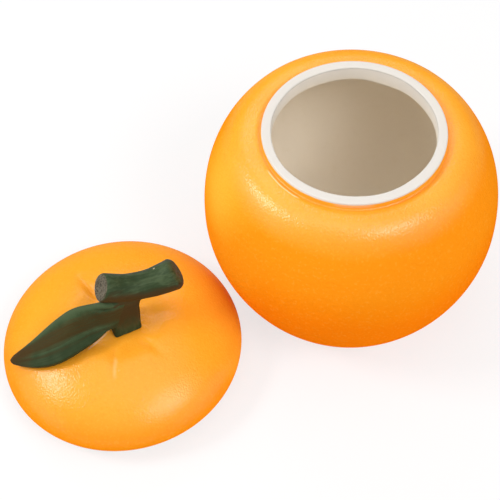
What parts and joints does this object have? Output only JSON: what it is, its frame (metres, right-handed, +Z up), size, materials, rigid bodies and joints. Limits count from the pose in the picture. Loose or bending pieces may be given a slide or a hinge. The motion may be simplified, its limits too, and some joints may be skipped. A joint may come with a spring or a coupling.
{
  "type": "tea canister",
  "caption": "Round ceramic tea canister shaped like a mandarin orange: wide-mouthed jar with a raised collar, and a domed lid with a twig knob, a leaf and a seal ring.",
  "frame": {"origin": "middle of the footprint of the jar and the lid beside it, at table level", "axes": "+Z up, +X to the right and +Y away from the camera of the picture: the jar stands at +X +Y and the lid lies at -X -Y"},
  "size_m": [0.1874, 0.1334, 0.0882],
  "materials": {
    "jar_glaze": "satin orange glaze, bare white rim, cream inside",
    "lid_glaze": "satin orange glaze",
    "silicone": "translucent white, matt",
    "twig_paint": "dark green and brown, satin, brushed",
    "leaf_paint": "dark green and brown, satin, brushed"
  },
  "bodies": {
    "jar": {"jar_body": "jar_glaze"},
    "seal": {"seal_ring": "silicone"},
    "lid": {"lid_shell": "lid_glaze", "branch_handle": "twig_paint", "leaf": "leaf_paint"}
  },
  "joints": [
    {"name": "lid_lift", "type": "slide", "parent": "jar", "child": "seal", "axis": [-0.2257, -0.0871, 0.9703], "range_m": [0, 0.15]},
    {"name": "lid_turn", "type": "hinge", "parent": "seal", "child": "lid", "pos_m": [-0.04843, -0.02136, 0.003], "axis": [0, 0, 1], "continuous": true}
  ]
}
